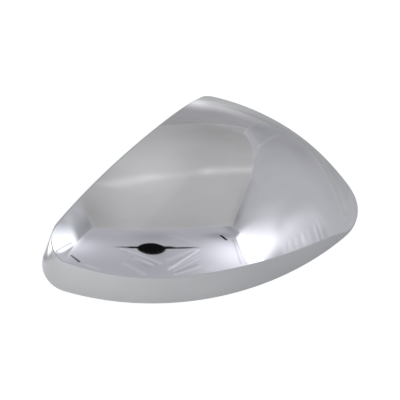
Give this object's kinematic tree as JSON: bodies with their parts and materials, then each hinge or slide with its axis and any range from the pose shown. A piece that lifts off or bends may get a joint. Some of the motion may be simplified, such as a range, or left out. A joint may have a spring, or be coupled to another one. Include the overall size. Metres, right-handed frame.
{
  "type": "wing mirror cover",
  "caption": "Bright-plated cover shell for a car's wing mirror, a crowned face over a leaning wall, with snap hooks moulded inside.",
  "frame": {"origin": "middle of the bounding box, at the height of the flat rim", "axes": "+X along the cover toward its pointed outer end, +Y toward the back of the rim outline, +Z out of the crowned face"},
  "size_m": [0.213, 0.1536, 0.05],
  "materials": {
    "bright_plating": "polished"
  },
  "bodies": {
    "root": {"mirror_cover": "bright_plating"}
  },
  "joints": []
}
